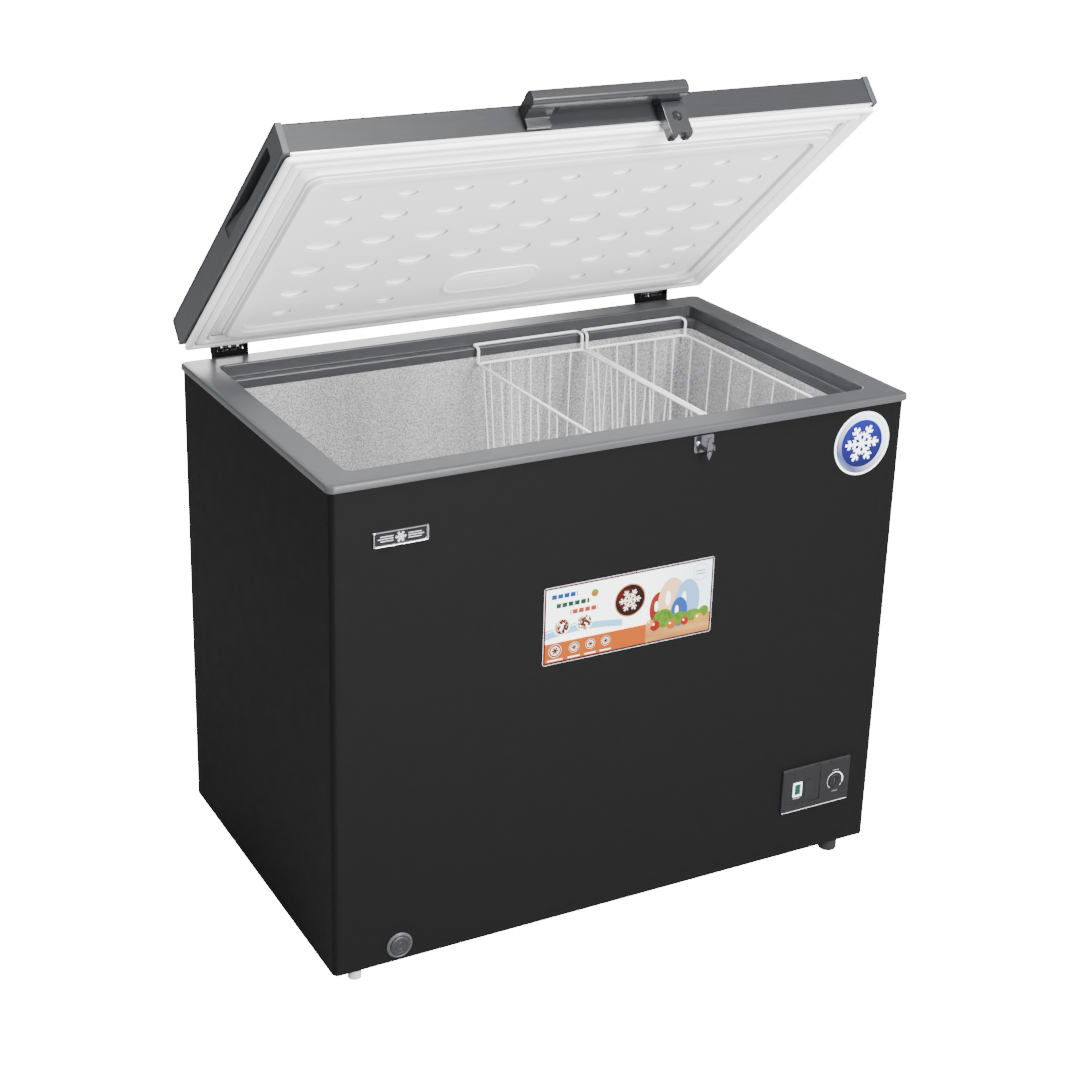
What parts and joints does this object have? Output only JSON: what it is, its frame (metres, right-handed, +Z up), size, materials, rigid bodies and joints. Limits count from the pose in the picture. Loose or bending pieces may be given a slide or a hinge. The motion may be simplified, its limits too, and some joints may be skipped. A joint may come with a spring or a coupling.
{
  "type": "chest freezer",
  "caption": "Freestanding chest freezer with a front-handled hinged lid, lock, embossed metal tank, two hanging baskets, control panel and drain",
  "frame": {"origin": "centre of the box round the part at rest, on the floor under the feet", "axes": "+X to the right along the front, +Y from the front to the back, +Z up; the lid rests 41 degrees open"},
  "size_m": [0.98, 0.6524, 1.2947],
  "materials": {
    "black_paint": "satin",
    "rim_grey": "satin",
    "brushed_grey": "satin",
    "embossed_aluminium": "satin",
    "white_liner": "satin",
    "gasket_white": "matte",
    "foam": "matte",
    "zinc": "satin",
    "chrome": "polished",
    "copper": "satin",
    "dark_plastic": "matte",
    "compressor_black": "satin",
    "rubber": "matte",
    "white_coated_wire": "gloss",
    "green_lens": "gloss",
    "light_grey_plastic": "matte",
    "label_film": "satin"
  },
  "bodies": {
    "cabinet": {"badge_plate": "chrome", "base_plate": "zinc", "cabinet_wrapper": "black_paint", "compressor_grommet_1": "rubber", "compressor_grommet_2": "rubber", "compressor_grommet_3": "rubber", "compressor_grommet_4": "rubber", "compressor_mount": "compressor_black", "compressor_shell": "compressor_black", "condenser_tube": "copper", "control_panel": "dark_plastic", "discharge_tube": "copper", "drain_collar": "rim_grey", "drain_tube": "light_grey_plastic", "evaporator_tube": "zinc", "filter_drier": "copper", "front_label": "label_film", "hinge_base_left": "black_paint", "hinge_base_right": "black_paint", "hinge_pin_left": "zinc", "hinge_pin_right": "zinc", "hinge_spring_left": "chrome", "hinge_spring_right": "chrome", "inner_liner": "embossed_aluminium", "insulation_foam": "foam", "keeper_plate": "chrome", "lamp_frame": "white_liner", "lamp_lens": "green_lens", "levelling_foot_back": "light_grey_plastic", "levelling_foot_front": "light_grey_plastic", "pad_foot_back": "rubber", "pad_foot_front": "rubber", "rear_cover": "black_paint", "rear_panel": "black_paint", "relay_cover": "dark_plastic", "round_sticker": "label_film", "side_grille": "dark_plastic", "suction_tube": "copper", "supply_bush": "rubber", "switch_blank": "dark_plastic", "thermostat_body": "zinc", "top_rim": "rim_grey"},
    "lid": {"lid_skin": "brushed_grey", "lid_liner": "white_liner", "lid_foam": "foam", "lid_gasket": "gasket_white", "lamp_blank": "white_liner", "end_cap_left": "rim_grey", "end_cap_right": "rim_grey", "handle": "rim_grey", "lock_housing": "rim_grey", "hinge_arm_left": "zinc", "hinge_arm_right": "zinc"},
    "lock_cylinder_body": {"lock_cylinder": "chrome"},
    "lock_hook_body": {"lock_hook": "zinc"},
    "drain_cap_body": {"drain_cap": "rim_grey"},
    "drain_plug_body": {"drain_plug": "white_liner"},
    "basket_left_body": {"basket_left": "white_coated_wire"},
    "basket_right_body": {"basket_right": "white_coated_wire"},
    "thermostat_body_dial": {"thermostat_dial": "dark_plastic"}
  },
  "joints": [
    {"name": "lid_hinge", "type": "hinge", "parent": "cabinet", "child": "lid", "pos_m": [0, 0.31475, 0.836], "axis": [-1, 0, 0], "range_deg": [-41, 44]},
    {"name": "lock_key_turn", "type": "hinge", "parent": "lid", "child": "lock_cylinder_body", "pos_m": [0.115, -0.18732, 1.24462], "axis": [0, -0.7547, 0.6561], "range_deg": [0, 90]},
    {"name": "lock_hook_turn", "type": "hinge", "parent": "lid", "child": "lock_hook_body", "pos_m": [0.115, -0.17978, 1.23806], "axis": [0, -0.7547, 0.6561], "range_deg": [0, 12]},
    {"name": "thermostat_turn", "type": "hinge", "parent": "cabinet", "child": "thermostat_body_dial", "pos_m": [0.412, -0.31055, 0.144], "axis": [0, 1, 0], "range_deg": [-135, 135]},
    {"name": "drain_cap_pull", "type": "slide", "parent": "cabinet", "child": "drain_cap_body", "axis": [0, -1, 0], "range_m": [0, 0.03]},
    {"name": "drain_plug_lift", "type": "slide", "parent": "cabinet", "child": "drain_plug_body", "axis": [0, 0, 1], "range_m": [0, 0.04]},
    {"name": "basket_left_slide", "type": "slide", "parent": "cabinet", "child": "basket_left_body", "axis": [1, 0, 0], "range_m": [-0.43, 0]},
    {"name": "basket_right_slide", "type": "slide", "parent": "cabinet", "child": "basket_right_body", "axis": [1, 0, 0], "range_m": [0, 0.009]}
  ],
  "couplings": [
    {"joint": "lock_hook_turn", "follows": "lock_key_turn", "ratio": 0.13333}
  ]
}
